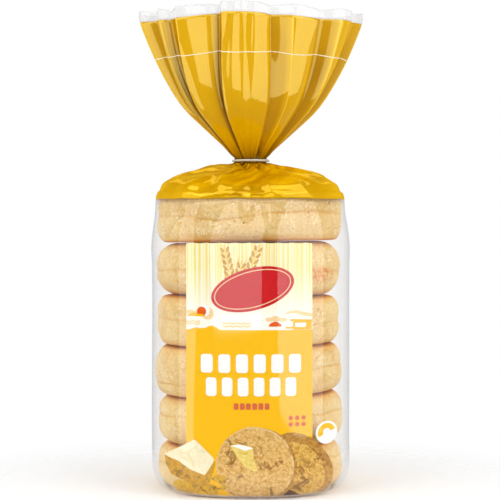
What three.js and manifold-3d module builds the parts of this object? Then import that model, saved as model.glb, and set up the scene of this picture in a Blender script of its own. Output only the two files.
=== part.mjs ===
// A pack of English muffins: six round muffins stacked in a clear film bag, gathered at the neck by a
// strip tie, with the pleated mouth of the bag flaring out above it. Millimetres, +Z up. The origin is
// the middle of the base, the printed front faces -Y and the bag is widest along X.
//
// bag: the whole bag as one body out to its film: flat base, upright sides round the stack, domed
//      shoulder with gathers, pinched neck and the hollow, pleated mouth.
// tie: the strip round the neck, with its two ends twisted together at the back.
import * as THREE from "three";
import { mergeVertices } from "three/addons/utils/BufferGeometryUtils.js";
import Module from "manifold-3d";

// Driving dimensions
const SIDE = 48.2; // half width of the bag round the muffins
const BASE_CORNER = 12; // height of the rounding between the base and the sides
const BASE_CORNER_REACH = 9; // and how far it reaches in
const SHOULDER_Z = 119; // where the sides start to lean in
const STACK_TOP_Z = 143; // top of the sixth muffin, where the dome begins
const NECK = 7.8; // half width of the gathered neck
const NECK_LOW_Z = 157; // the neck is straight between these two heights, where the tie holds it
const NECK_HIGH_Z = 159.8;
const RIM_Z = 232.8; // height of the mouth's edge at the front and back
const MOUTH = 53.2; // half width of the mouth
const MOUTH_WALL = 1.2; // the gathered film of the mouth, as a solid wall
const MOUTH_FLOOR_Z = 176; // where the hollow of the mouth ends above the neck

// Depth as a share of width, and how square the section is (2 is an ellipse), at each main height.
const BODY_SECTION = { depth: 0.975, square: 2.4 };
const NECK_SECTION = { depth: 0.64, square: 2 };
const MOUTH_SECTION = { depth: 0.36, square: 2 };

// Pleats round the mouth, in degrees from +X, with the front, -Y, at 270: each rises over a short
// steep face from its valley to its ridge, then falls over a broad face to the next valley.
const PLEATS = [
  { valley: -5, ridge: 3 },
  { valley: 18, ridge: 26 },
  { valley: 45, ridge: 58 },
  { valley: 70, ridge: 84 },
  { valley: 103, ridge: 113 },
  { valley: 128, ridge: 140 },
  { valley: 155, ridge: 163 },
  { valley: 177, ridge: 185 },
  { valley: 191, ridge: 195.5 },
  { valley: 197.5, ridge: 203.5 },
  { valley: 228, ridge: 235.5 },
  { valley: 299.5, ridge: 315.5 },
  { valley: 338, ridge: 344 },
];
const MOUTH_PLEAT = 2.4; // half height of a pleat at the mouth
const NECK_PLEAT = 0.35;
const DOME_PLEAT = 0.9; // half height of a gather on the dome
const RIM_CORNER_DROP = 2.6; // the mouth's edge is lower at its two sides
const RIM_WAVE = 0.6; // and follows each pleat by this much

const ROUND_STEPS = 108; // steps round the bag

const TIE_GAP = 0.3; // between the tie and the neck
const TIE_HEIGHT = 1.1;
const TIE_THICK = 0.7;
const TIE_EDGE = 0.25; // rounding of the strip's edges
const TIE_STEPS = 56;
const TWIST_LENGTH = 15;
const TWIST_WIDTH = 2.4;
const TWIST_THICK = 1.5;
const TWIST_TURNS = 1.5;
const TWIST_RISE = 2.5; // the twisted ends stand this much higher at their tip
const TWIST_SINK = 0.5; // how far the twist starts inside the strip, so that they join

const TAU = 2 * Math.PI;
const blend = (a, b, share) => a + (b - a) * THREE.MathUtils.smoothstep(share, 0, 1);

// The section at height z, eased from the body to the neck and from the neck to the mouth.
function sectionAt(z) {
  const [below, above, share] =
    z < NECK_LOW_Z
      ? [BODY_SECTION, NECK_SECTION, (z - STACK_TOP_Z) / (NECK_LOW_Z - STACK_TOP_Z)]
      : [NECK_SECTION, MOUTH_SECTION, (z - NECK_HIGH_Z) / (RIM_Z - NECK_HIGH_Z)];
  return {
    depth: blend(below.depth, above.depth, share),
    square: blend(below.square, above.square, share),
  };
}

// Half height of the pleats at height z: none on the sides, growing up the dome, held tight at the
// neck, and opening towards the mouth.
function pleatAt(z) {
  if (z < NECK_LOW_Z) {
    const up = THREE.MathUtils.smoothstep(z, STACK_TOP_Z - 6, NECK_LOW_Z - 4);
    const held = THREE.MathUtils.smoothstep(z, NECK_LOW_Z - 2, NECK_LOW_Z);
    return blend(DOME_PLEAT * up, NECK_PLEAT, held);
  }
  return blend(NECK_PLEAT, MOUTH_PLEAT, (z - NECK_HIGH_Z) / (0.45 * (RIM_Z - NECK_HIGH_Z)));
}

// The pleats' wave round the bag: -1 in each valley and 1 on each ridge.
function pleatWave(angle) {
  const start = PLEATS[0].valley;
  const turned = THREE.MathUtils.radToDeg(angle) - start;
  const degrees = THREE.MathUtils.euclideanModulo(turned, 360) + start;
  const index = PLEATS.findLastIndex((pleat) => pleat.valley <= degrees);
  const { valley, ridge } = PLEATS[index];
  const nextValley = index + 1 < PLEATS.length ? PLEATS[index + 1].valley : start + 360;
  if (degrees < ridge) return blend(-1, 1, (degrees - valley) / (ridge - valley));
  return blend(1, -1, (degrees - ridge) / (nextValley - ridge));
}

// Radius of a superellipse of half width 1 and the given section, along an angle.
function sectionRadius(angle, { depth, square }) {
  const across = Math.abs(Math.cos(angle)) ** square;
  const along = Math.abs(Math.sin(angle) / depth) ** square;
  return (across + along) ** (-1 / square);
}

// The bag's side outline as half width against height, from the middle of the base to the rim.
function outerOutline() {
  const flat = SIDE - BASE_CORNER_REACH;
  const corner = [0, 30, 55, 75, 90].map((degrees) => {
    const a = THREE.MathUtils.degToRad(degrees);
    return new THREE.Vector2(flat + BASE_CORNER_REACH * Math.sin(a), BASE_CORNER * (1 - Math.cos(a)));
  });
  const base = [0, 0.35, 0.7].map((share) => new THREE.Vector2(flat * share, 0));
  const sides = [46, 84].map((height) => new THREE.Vector2(SIDE, height));
  const dome = new THREE.SplineCurve([
    new THREE.Vector2(SIDE, SHOULDER_Z),
    new THREE.Vector2(SIDE - 2.8, STACK_TOP_Z - 3.5),
    new THREE.Vector2(43.1, STACK_TOP_Z + 0.2),
    new THREE.Vector2(40, STACK_TOP_Z + 4.6),
    new THREE.Vector2(25, NECK_LOW_Z - 2.7),
    new THREE.Vector2(12, NECK_LOW_Z - 0.5),
    new THREE.Vector2(NECK, NECK_LOW_Z),
  ]);
  const flare = new THREE.SplineCurve([
    new THREE.Vector2(NECK, NECK_HIGH_Z),
    new THREE.Vector2(22.8, 175.4),
    new THREE.Vector2(32.6, 187),
    new THREE.Vector2(43.6, 206),
    new THREE.Vector2(MOUTH - 1, 226),
    new THREE.Vector2(MOUTH, RIM_Z),
  ]);
  return { lower: [...base, ...corner, ...sides, ...dome.getPoints(9)], flare: flare.getPoints(9) };
}

// The outline closed on the axis: up the outside, over the rim and down inside the mouth.
function bagOutline() {
  const { lower, flare } = outerOutline();
  const inside = flare
    .filter((point) => point.y > MOUTH_FLOOR_Z)
    .map((point) => new THREE.Vector2(point.x - MOUTH_WALL, point.y))
    .reverse();
  const floor = new THREE.Vector2(0, MOUTH_FLOOR_Z - 1);
  return [...lower, ...flare, ...inside, floor];
}

// The way across the outline at each point, outwards from the film, as it bends there.
function acrossOutline(points, index) {
  const before = points[Math.max(index - 1, 0)];
  const after = points[Math.min(index + 1, points.length - 1)];
  const along = after.clone().sub(before).normalize();
  return new THREE.Vector2(along.y, -along.x);
}

// A round lathe of the outline, then each vertex goes to its own section and pleat.
function makeBag() {
  const outline = bagOutline();
  const { lower, flare } = outerOutline();
  const rimIndex = lower.length + flare.length - 1;
  const geometry = new THREE.LatheGeometry(outline, ROUND_STEPS);
  const position = geometry.getAttribute("position");
  for (let vertex = 0; vertex < position.count; vertex++) {
    const index = vertex % outline.length;
    const turn = Math.floor(vertex / outline.length) % ROUND_STEPS;
    const angle = (TAU * turn) / ROUND_STEPS;
    const { x: halfWidth, y: height } = outline[index];
    // Inside the mouth, the wall follows the outside's way across.
    const outside = index <= rimIndex ? index : Math.max(2 * rimIndex + 1 - index, lower.length);
    const across = acrossOutline(outline.slice(0, rimIndex + 1), outside);
    const pleat = halfWidth > 0 ? pleatAt(height) * pleatWave(angle) : 0;
    const radius = halfWidth * sectionRadius(angle, sectionAt(height)) + pleat * across.x;
    const up = THREE.MathUtils.smoothstep(height, MOUTH_FLOOR_Z, RIM_Z);
    const rim = RIM_WAVE * pleatWave(angle) - RIM_CORNER_DROP * Math.cos(angle) ** 2;
    position.setXYZ(
      vertex,
      radius * Math.cos(angle),
      radius * Math.sin(angle),
      height + pleat * across.y + up * rim,
    );
  }
  return geometry;
}

// A closed geometry as a solid, and back, for joining the tie's two lengths.
const wasm = await Module();
wasm.setup();

function solidOf(geometry) {
  const bare = geometry.clone();
  bare.deleteAttribute("normal");
  bare.deleteAttribute("uv");
  const merged = mergeVertices(bare);
  return new wasm.Manifold(
    new wasm.Mesh({
      numProp: 3,
      vertProperties: merged.getAttribute("position").array,
      triVerts: new Uint32Array(merged.index.array),
    }),
  );
}

function geometryOf(solid) {
  const { vertProperties, triVerts } = solid.getMesh();
  const geometry = new THREE.BufferGeometry();
  geometry.setAttribute("position", new THREE.BufferAttribute(vertProperties, 3));
  geometry.setIndex(new THREE.BufferAttribute(triVerts, 1));
  geometry.computeVertexNormals();
  return geometry;
}

// The strip round the neck: an oval ring of flat strip with rounded edges.
function makeStrip() {
  const inner = NECK + NECK_PLEAT + TIE_GAP;
  const outer = inner + TIE_THICK;
  const low = (NECK_LOW_Z + NECK_HIGH_Z - TIE_HEIGHT) / 2;
  const high = low + TIE_HEIGHT;
  const section = [
    [inner, low],
    [outer - TIE_EDGE, low],
    [outer, low + TIE_EDGE],
    [outer, high - TIE_EDGE],
    [outer - TIE_EDGE, high],
    [inner, high],
    [inner, low],
  ].map(([halfWidth, height]) => new THREE.Vector2(halfWidth, height));
  const geometry = new THREE.LatheGeometry(section, TIE_STEPS);
  const position = geometry.getAttribute("position");
  for (let vertex = 0; vertex < position.count; vertex++) {
    const { x: halfWidth, y: height } = section[vertex % section.length];
    const turn = Math.floor(vertex / section.length) % TIE_STEPS;
    const angle = (TAU * turn) / TIE_STEPS;
    const clear = halfWidth - NECK; // the same clearance all round the neck's oval
    const radius = NECK * sectionRadius(angle, NECK_SECTION) + clear;
    position.setXYZ(vertex, radius * Math.cos(angle), radius * Math.sin(angle), height);
  }
  return geometry;
}

// The strip's two ends, twisted together into one flat bar that stands out behind the neck.
function makeTwist() {
  const strip = new THREE.Shape([
    new THREE.Vector2(-TWIST_WIDTH / 2, -TWIST_THICK / 2),
    new THREE.Vector2(TWIST_WIDTH / 2, -TWIST_THICK / 2),
    new THREE.Vector2(TWIST_WIDTH / 2, TWIST_THICK / 2),
    new THREE.Vector2(-TWIST_WIDTH / 2, TWIST_THICK / 2),
  ]);
  const options = { depth: TWIST_LENGTH, steps: 18, bevelEnabled: false };
  const geometry = new THREE.ExtrudeGeometry(strip, options);
  const position = geometry.getAttribute("position");
  const back = NECK * NECK_SECTION.depth + NECK_PLEAT + TIE_GAP + TIE_THICK - TWIST_SINK;
  const middle = (NECK_LOW_Z + NECK_HIGH_Z) / 2;
  const place = new THREE.Vector3();
  for (let vertex = 0; vertex < position.count; vertex++) {
    place.fromBufferAttribute(position, vertex);
    const along = place.z / TWIST_LENGTH;
    place.applyAxisAngle(new THREE.Vector3(0, 0, 1), TAU * TWIST_TURNS * along);
    position.setXYZ(
      vertex,
      place.x,
      back + TWIST_LENGTH * along,
      middle + place.y + TWIST_RISE * along ** 2,
    );
  }
  // Swapping the two axes turned the bar inside out, so each face is turned back.
  return turnFaces(geometry);
}

function turnFaces(geometry) {
  const turned = geometry.index ? geometry.toNonIndexed() : geometry;
  const position = turned.getAttribute("position");
  const first = new THREE.Vector3();
  const second = new THREE.Vector3();
  for (let face = 0; face < position.count; face += 3) {
    first.fromBufferAttribute(position, face);
    second.fromBufferAttribute(position, face + 1);
    position.setXYZ(face, second.x, second.y, second.z);
    position.setXYZ(face + 1, first.x, first.y, first.z);
  }
  return turned;
}

function makeTie() {
  return geometryOf(solidOf(makeStrip()).add(solidOf(makeTwist())));
}

// Finishes
const yellowFilm = new THREE.MeshStandardMaterial({ color: "#f2b705", roughness: 0.25, metalness: 0 });
const palePlastic = new THREE.MeshStandardMaterial({ color: "#e9e7e2", roughness: 0.4, metalness: 0 });

function named(name, geometry, material) {
  const mesh = new THREE.Mesh(geometry, material);
  mesh.name = name;
  return mesh;
}

const pack = new THREE.Group();
pack.add(named("bag", makeBag(), yellowFilm));
pack.add(named("tie", makeTie(), palePlastic));

export default pack;
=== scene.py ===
import bisect
import math

import bmesh
import bpy
from mathutils import Matrix, Vector, noise
from mathutils.bvhtree import BVHTree


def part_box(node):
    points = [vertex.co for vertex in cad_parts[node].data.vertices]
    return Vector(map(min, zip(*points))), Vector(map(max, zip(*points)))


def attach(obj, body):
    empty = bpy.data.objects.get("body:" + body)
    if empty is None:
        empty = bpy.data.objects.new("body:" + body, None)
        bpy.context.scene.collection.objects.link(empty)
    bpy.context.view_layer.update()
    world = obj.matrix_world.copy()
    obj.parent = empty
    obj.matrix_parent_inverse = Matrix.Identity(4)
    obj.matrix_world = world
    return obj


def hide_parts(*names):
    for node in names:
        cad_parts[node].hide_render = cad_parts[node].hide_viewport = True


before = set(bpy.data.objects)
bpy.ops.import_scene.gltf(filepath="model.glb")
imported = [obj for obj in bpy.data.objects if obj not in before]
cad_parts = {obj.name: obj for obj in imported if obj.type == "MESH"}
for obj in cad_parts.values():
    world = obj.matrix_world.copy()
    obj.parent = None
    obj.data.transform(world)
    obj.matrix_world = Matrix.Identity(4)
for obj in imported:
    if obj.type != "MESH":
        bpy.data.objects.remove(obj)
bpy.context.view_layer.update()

MM = 0.001
TURN = 2 * math.pi

# ---------------------------------------------------------------- sizes of the bag, from the frame

_, bag_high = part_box("bag")
_, tie_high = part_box("tie")

BODY_DEPTH = 0.975  # depth as a share of width
BODY_SQUARE = 2.4  # how square the section is: 2 is an ellipse
NECK_DEPTH = 0.64
MOUTH_DEPTH = 0.36
SIDE = bag_high.y / BODY_DEPTH  # half width of the bag round the muffins
BASE_CORNER = 12 * MM  # the height of the rounded corner at the base
BASE_CORNER_REACH = 9 * MM  # and how far it reaches in
SHOULDER = 119 * MM  # where the sides start to lean in
PRINT_EDGE = 139 * MM  # clear film below, printed film above
STACK_TOP = 143 * MM
TIE_THICK = 0.7 * MM
NECK = tie_high.x - TIE_THICK - 0.65 * MM
NECK_LOW = 157 * MM  # the tie holds the neck between these two heights
NECK_HIGH = 159.8 * MM
RIM_WAVE = 0.6 * MM
RIM = bag_high.z - RIM_WAVE
RIM_CORNER_DROP = 2.6 * MM  # the mouth's edge is lower at its two sides
MOUTH = 53.2 * MM
RIM_PEAK = 232  # where the mouth's edge stands highest, in degrees
RIM_PEAK_SPREAD = 22
RIM_PEAK_RISE = 1.1 * MM
RIM_STRIP = 4.8 * MM  # the unprinted strip at the rim
TEAR_LINE = 23.2 * MM  # the perforation's distance below the rim

# Pleats of the mouth as (valley, ridge, shade), in degrees from +X, with the front at 270. Each rises
# over a short steep face from its valley to its ridge, then falls over a broad one to the next
# valley. Shade, 0 to 1, darkens the steep face's ink: for the film doubled there, and as painted shade.
PLEATS = (
    (-5, 3, 0.4), (18, 26, 0.6), (45, 58, 0.8), (70, 84, 0.5), (103, 113, 0.8), (128, 140, 0.5),
    (155, 163, 0.7), (177, 185, 0.4), (191, 195.5, 0.5), (197.5, 203.5, 1), (228, 235.5, 1),
    (299.5, 315.5, 0.4), (338, 344, 0.5),
)
PLEAT_BULGE = 0.026  # how far a broad face bows out, as a share of the pleat's half height per degree
MOST_BULGE = 1.15  # the same share for the broadest faces
SHADE_REACH = 6  # how far a steep face's shade runs out over the broad face before it, in degrees
MOUTH_PLEAT = 2.4 * MM
NECK_PLEAT = 0.35 * MM
MOUTH_SWAY = 0.7 * MM  # slow waves up the mouth's film
MOUTH_CREASE = 0.55 * MM  # and quicker ones
TUCK = 0.5 * MM  # the fine gathers at the neck
TUCK_REACH = 9 * MM  # and how far they run out
FINE_TUCKS = 23  # round the neck
BROAD_TUCKS = 11
GATHER_REACH = 5 * MM  # how far out from the neck the film lies bunched, its ink painted darker as shade,
SWIRL_REACH = 24 * MM  # lies in folds in the shoulder's swirl, painted darker as shade,
PILE_REACH = 40 * MM  # and lies in a pile at the middle of the front and the back, painted darker as shade
SHOULDER_CREASE = 4 * MM
SHOULDER_RIPPLE = 1.5 * MM  # of the slack film's lower edge
GUSSETS = (49, 131, 229, 311)  # the folds down the bag's four corners, in degrees
GUSSET_RIDGE = 0.7 * MM
GUSSET_WIDTH = 7 * MM
BODY_SWAY = 0.5 * MM

FILM_WALL = 0.1 * MM  # thicker than the real 0.04 mm, so that its two faces stay apart
FILM_STEPS = 480  # round the bag


def ease(share):
    """From 0 to 1 with a soft start and end."""
    share = min(max(share, 0), 1)
    return share * share * (3 - 2 * share)


def between(low, high, value):
    """How far value has come from low to high, eased."""
    return ease((value - low) / (high - low))


def mix(a, b, share):
    return a + (b - a) * share


def fading(away, width):
    """1 on a line, and softly down to nothing about two widths away from it."""
    return math.exp(-(away / width) ** 2)


def smooth_line(points, steps):
    """Points along a smooth line through the given ones, with steps in each gap."""
    padded = [points[0], *points, points[-1]]
    line = []
    for a, b, c, d in zip(padded, padded[1:], padded[2:], padded[3:]):
        for step in range(steps):
            t = step / steps
            pulls = (-t + 2 * t**2 - t**3, 2 - 5 * t**2 + 3 * t**3, t + 4 * t**2 - 3 * t**3, t**3 - t**2)
            line.append(tuple(sum(pull * at for pull, at in zip(pulls, along)) / 2
                              for along in zip(a, b, c, d)))
    return line + [points[-1]]


# ---------------------------------------------------------------- the film's shape

def bag_outline():
    """(half width, height) up the side of the bag, from the top of its base corner to the rim."""
    straight = [(SIDE, BASE_CORNER), (SIDE, SHOULDER - 20 * MM)]
    dome = smooth_line([
        (SIDE, SHOULDER - 10 * MM),
        (SIDE, SHOULDER),
        (SIDE - 2.8 * MM, STACK_TOP - 3.5 * MM),
        (43.1 * MM, STACK_TOP + 0.2 * MM),
        (40 * MM, STACK_TOP + 4.6 * MM),
        (25 * MM, NECK_LOW - 2.7 * MM),
        (12 * MM, NECK_LOW - 0.5 * MM),
        (NECK, NECK_LOW),
    ], 30)
    flare = smooth_line([
        (NECK, NECK_HIGH),
        (22.8 * MM, 175.4 * MM),
        (32.6 * MM, 187 * MM),
        (43.6 * MM, 206 * MM),
        (MOUTH - 1 * MM, 226 * MM),
        (MOUTH, RIM),
    ], 30)
    return straight + dome + flare


OUTLINE = bag_outline()
HEIGHTS = [height for _, height in OUTLINE]


def half_width_at(height):
    """How far the outline stands from the axis at a height."""
    above = min(max(bisect.bisect_right(HEIGHTS, height), 1), len(OUTLINE) - 1)
    (low_width, low), (high_width, high) = OUTLINE[above - 1], OUTLINE[above]
    return mix(low_width, high_width, (height - low) / (high - low))


def way_across(height):
    """Outwards across the outline, as (sideways, up)."""
    if height <= BASE_CORNER:
        return 1, 0
    reach = 0.4 * MM
    lean = half_width_at(min(height + reach, RIM)) - half_width_at(height - reach)
    length = math.hypot(lean, 2 * reach)
    return 2 * reach / length, -lean / length


def rows_up(low, high, gap):
    """(half width, height) up the outline at an even gap, from one height to another."""
    fine = [(half_width_at(low), low)]
    fine += [point for point in OUTLINE if low < point[1] < high]
    fine += [(half_width_at(high), high)]
    reach = [0]
    for a, b in zip(fine, fine[1:]):
        reach.append(reach[-1] + math.dist(a, b))
    count = max(1, round(reach[-1] / gap))
    rows = []
    for step in range(count + 1):
        want = reach[-1] * step / count
        after = bisect.bisect_right(reach, want, 1, len(reach) - 1)
        share = (want - reach[after - 1]) / (reach[after] - reach[after - 1])
        rows.append(tuple(mix(a, b, share) for a, b in zip(fine[after - 1], fine[after])))
    return rows


def base_rows():
    """(half width, height) from the middle of the base to the top of its corner."""
    flat = SIDE - BASE_CORNER_REACH
    rings = 10
    turns = 12
    rows = [(flat * ring / rings, 0) for ring in range(rings)]
    for turn in range(turns):
        angle = TURN / 4 * turn / turns
        rows.append((flat + BASE_CORNER_REACH * math.sin(angle), BASE_CORNER * (1 - math.cos(angle))))
    return rows


def section_radius(angle, depth, square):
    across = abs(math.cos(angle)) ** square
    along = abs(math.sin(angle) / depth) ** square
    return (across + along) ** (-1 / square)


def section_at(height):
    """(depth, squareness) of the bag's section, eased from body to neck to mouth."""
    if height < NECK_LOW:
        share = between(STACK_TOP, NECK_LOW, height)
        return mix(BODY_DEPTH, NECK_DEPTH, share), mix(BODY_SQUARE, 2, share)
    return mix(NECK_DEPTH, MOUTH_DEPTH, between(NECK_HIGH, RIM, height)), 2


def pleat_at(angle):
    """(wave, shade): -1 in each valley to 1 on each ridge, and the shade of the steep faces."""
    start = PLEATS[0][0]
    degrees = (math.degrees(angle) - start) % 360 + start
    index = max(i for i, (valley, _, _) in enumerate(PLEATS) if valley <= degrees + 1e-9)
    valley, ridge, shade = PLEATS[index]
    next_valley, _, next_shade = PLEATS[(index + 1) % len(PLEATS)]
    next_valley = max(next_valley, next_valley + 360 * (next_valley < ridge))
    if degrees < ridge:
        share = (degrees - valley) / (ridge - valley)
        return mix(-1, 1, share), shade * (1 - ease(3 * share - 2))
    broad = next_valley - ridge
    share = (degrees - ridge) / broad
    bulge = min(MOST_BULGE, PLEAT_BULGE * broad) * 4 * share * (1 - share)
    return mix(1, -1, share) + bulge, next_shade * ease(1 - (next_valley - degrees) / SHADE_REACH)


def turned_from(angle, degrees):
    """How far round an angle is from a place given in degrees, by the shorter way."""
    return (angle - math.radians(degrees) + TURN / 2) % TURN - TURN / 2


def round_the_bag(angle, tightness, rise):
    """A place for noise that closes on itself round the bag."""
    return Vector((tightness * math.cos(angle), tightness * math.sin(angle), rise))


def gathers(angle, half_width, height):
    """Fine tucks that run into the neck and fade a few centimetres away."""
    drift = 2.5 * noise.noise(round_the_bag(angle, 1.3, 4.1))
    wave = 0.7 * math.sin(FINE_TUCKS * angle + 2 * drift) + 0.9 * math.sin(BROAD_TUCKS * angle + 3 * drift)
    held = between(0, 2 * MM, min(abs(height - NECK_LOW), abs(height - NECK_HIGH)))
    return TUCK * wave * math.exp((NECK - half_width) / TUCK_REACH) * mix(0.35, 1, held)


def crumple(angle, half_width):
    """Creases that swirl over the shoulder, where the slack film is twisted into the neck."""
    share = (half_width - NECK) / (SIDE - NECK)
    swirl = angle + 0.9 * (1 - share) ** 2
    broad = noise.noise(round_the_bag(swirl, 2.1, 1.5 * share))
    narrow = noise.noise(round_the_bag(swirl, 4.5, 2.6 * share + 7))
    creased = 1.1 * (0.2 - math.hypot(broad, 0.05)) + 0.3 * narrow
    # The top muffin keeps the slack film from falling far in over its edge.
    creased = max(creased, mix(-1, -0.1, between(0.5, 0.72, share)))
    slack = (1 - between(0.86, 1.0, share)) * mix(0.3, 1, between(0.05, 0.4, share))
    # The folds pile up a little on the left.
    left = max(0, -math.cos(angle)) ** 3
    fuller = 1.1 * MM * left * between(0.3, 0.75, share) * (1 - between(0.85, 1, share))
    return SHOULDER_CREASE * creased * slack + fuller


def mouth_push(angle, half_width, height):
    """How far the mouth's pleats, waves and gathers push the film out."""
    opened = between(0, 1, (height - NECK_HIGH) / (0.45 * (RIM - NECK_HIGH)))
    pleat = mix(NECK_PLEAT, MOUTH_PLEAT, opened) * pleat_at(angle)[0]
    sway = MOUTH_SWAY * noise.noise(round_the_bag(angle, 2.3, height / (30 * MM)))
    sway += MOUTH_CREASE * noise.noise(round_the_bag(angle, 5.5, 3 + height / (45 * MM)))
    return pleat + opened * sway + gathers(angle, half_width, height)


def fold_layers_and_shade_at(angle, half_width, height):
    """How dark the film's ink is made, 0 to 1: where the film lies doubled on itself, and as painted shade in
    the steep pleats and at the neck.
    """
    away = half_width - NECK
    # Near the neck, where the film is bunched, the ink is painted darker as shade.
    gathered_and_shaded = math.exp(-away / GATHER_REACH)
    if height < NECK_HIGH:
        # In the shoulder's swirling folds the ink is painted darker as shade.
        swirl = noise.noise(round_the_bag(angle + 0.06 * away / MM, 3.4, 8))
        doubled_and_shaded = 0.75 * ease(2.6 * swirl + 0.3) * math.exp(-away / SWIRL_REACH)
        # The folds pile up thickest at the middle of the front and of the back, and are painted darker there
        # as shade.
        wound = noise.noise(round_the_bag(angle + 0.04 * away / MM, 8, away / (11 * MM)))
        piled_and_shaded = abs(math.sin(angle)) ** 6 * ease(1.4 * wound + 0.5) * math.exp(-away / PILE_REACH)
        return min(1, 0.9 * gathered_and_shaded + doubled_and_shaded + 0.7 * piled_and_shaded)
    # On the mouth, the steep face of each pleat is painted darker as shade, in patches, and less towards the
    # rim.
    _, shade = pleat_at(angle)
    patch = 0.85 + 0.4 * noise.noise(round_the_bag(angle, 2.7, height / (18 * MM)))
    closing = between(RIM + 10 * MM, RIM - 40 * MM, height)
    return min(1, 0.9 * gathered_and_shaded + shade * patch * mix(0.6, 1, closing))


def body_push(angle, half_width, height):
    """How far the corner folds, slow waves and shoulder ripples push the film out."""
    down = between(BASE_CORNER, 30 * MM, height) * (1 - between(SHOULDER, PRINT_EDGE, height))
    ridge = sum(math.exp(-abs(turned_from(angle, gusset)) * SIDE / GUSSET_WIDTH) for gusset in GUSSETS)
    sway = noise.noise(round_the_bag(angle, 1.6, height / (55 * MM)))
    # Where the printed film starts, the slack shoulder makes the sides ripple.
    ripple = SHOULDER_RIPPLE * noise.noise(round_the_bag(angle, 3.8, height / (17 * MM)))
    near = between(120 * MM, 138 * MM, height) * (1 - between(146 * MM, 153 * MM, height))
    return down * (GUSSET_RIDGE * ridge + BODY_SWAY * sway) + max(ripple, -0.5 * MM) * near


def film_point(angle, half_width, height):
    """The outer face of the film. A spun shell gives each point's angle, half width and height."""
    depth, square = section_at(height)
    radius = half_width * section_radius(angle, depth, square)
    if height > NECK_HIGH:
        push = mouth_push(angle, half_width, height)
    elif height > SHOULDER:
        push = body_push(angle, half_width, height) + crumple(angle, half_width)
        push += gathers(angle, half_width, height)
    elif height > BASE_CORNER:
        push = body_push(angle, half_width, height)
    else:
        push = 0
    out, up = way_across(height)
    flutter = RIM_WAVE * pleat_at(angle)[0] - RIM_CORNER_DROP * math.cos(angle) ** 2
    flutter += RIM_PEAK_RISE * fading(math.degrees(turned_from(angle, RIM_PEAK)), RIM_PEAK_SPREAD)
    rim = flutter * between(NECK_HIGH + 15 * MM, RIM, height)
    radius += push * out
    return Vector((radius * math.cos(angle), radius * math.sin(angle), height + push * up + rim))


def to_crease(angle, steps):
    """The nearest pleat crease, if it is within half a step, or else the angle itself."""
    for valley, ridge, _ in PLEATS:
        for crease in (valley, ridge):
            if abs(turned_from(angle, crease)) <= TURN / steps / 2:
                return math.radians(crease)
    return angle


def spun(line, steps):
    """A line of (half width, height) spun round the Z axis, closed where it meets the axis."""
    shell = bmesh.new()
    points = [shell.verts.new((half_width, 0, height)) for half_width, height in line]
    for a, b in zip(points, points[1:]):
        shell.edges.new((a, b))
    bmesh.ops.spin(shell, geom=shell.verts[:] + shell.edges[:], cent=(0, 0, 0), axis=(0, 0, 1),
                   angle=TURN, steps=steps, use_merge=True)
    bmesh.ops.remove_doubles(shell, verts=shell.verts, dist=0.001 * MM)
    bmesh.ops.recalc_face_normals(shell, faces=shell.faces)
    return shell


def film_shell(line, steps=FILM_STEPS):
    """A spun line carried to the film's outer face, with its faces pointing out."""
    shell = spun(line, steps)
    layers = shell.verts.layers.float.new("layers")
    crest_highlight = shell.verts.layers.float.new("crest_highlight")
    ridges = [math.radians(ridge) for _, ridge, _ in PLEATS]
    for vert in shell.verts:
        half_width = math.hypot(vert.co.x, vert.co.y)
        angle = to_crease(math.atan2(vert.co.y, vert.co.x), steps)
        # Above the clear film, each point gets how dark its ink is made, for the film doubled on itself and
        # for painted shade in its folds, and the painted highlight along each pleat's ridge.
        if vert.co.z > PRINT_EDGE:
            vert[layers] = fold_layers_and_shade_at(angle, half_width, vert.co.z)
            vert[crest_highlight] = (angle in ridges) * between(NECK_HIGH + 2 * MM, NECK_HIGH + 15 * MM, vert.co.z)
        vert.co = film_point(angle, half_width, vert.co.z)
    shell.normal_update()
    outward = sum(face.normal.xy.dot(face.calc_center_median().xy) for face in shell.faces)
    if outward < 0:
        bmesh.ops.reverse_faces(shell, faces=shell.faces)
    return shell


# ---------------------------------------------------------------- making pieces

def upright_at(x, z, y=0):
    """A matrix that stands a flat drawing upright with its middle at a place."""
    return Matrix.Translation((x, y, z)) @ Matrix.Rotation(TURN / 4, 4, "X")


def piece(name, shape, material):
    """A mesh object at the origin from a bmesh, shaded smooth."""
    mesh = bpy.data.meshes.new(name)
    shape.to_mesh(mesh)
    shape.free()
    mesh.polygons.foreach_set("use_smooth", [True] * len(mesh.polygons))
    made = bpy.data.objects.new(name, mesh)
    bpy.context.scene.collection.objects.link(made)
    mesh.materials.append(material)
    return made


def colour(code, alpha=1.0):
    """An sRGB hex colour as linear numbers."""
    levels = [int(code[at:at + 2], 16) / 255 for at in (1, 3, 5)]
    linear = [v / 12.92 if v <= 0.04045 else ((v + 0.055) / 1.055) ** 2.4 for v in levels]
    return (*linear, alpha)


def node(material, kind, inputs=None, **settings):
    """Adds a node. inputs maps a socket's name or number to a value, or to what feeds it: a socket, or a
    node whose first socket in use feeds it."""
    made = material.node_tree.nodes.new("ShaderNode" + kind)
    for name, value in settings.items():
        setattr(made, name, value)
    for name, value in (inputs or {}).items():
        if isinstance(value, bpy.types.Node):
            value = next(socket for socket in value.outputs if socket.enabled)
        if isinstance(value, bpy.types.NodeSocket):
            material.node_tree.links.new(value, made.inputs[name])
        else:
            made.inputs[name].default_value = value
    return made


def new_material(name):
    """An empty material, and the Object coordinates that its patterns lie on."""
    material = bpy.data.materials.new(name)
    material.use_nodes = True
    material.node_tree.nodes.clear()
    return material, node(material, "TexCoord").outputs["Object"]


def finish_material(material, shader):
    node(material, "OutputMaterial", {"Surface": shader})
    return material


def finish_ink(material, ink):
    """Ink lies behind the film, whose own face gives the gloss, so it is matt."""
    film = node(material, "BsdfPrincipled",
                {"Base Color": ink, "Roughness": 0.55, "Specular IOR Level": 0.0})
    return finish_material(material, film)


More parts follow.
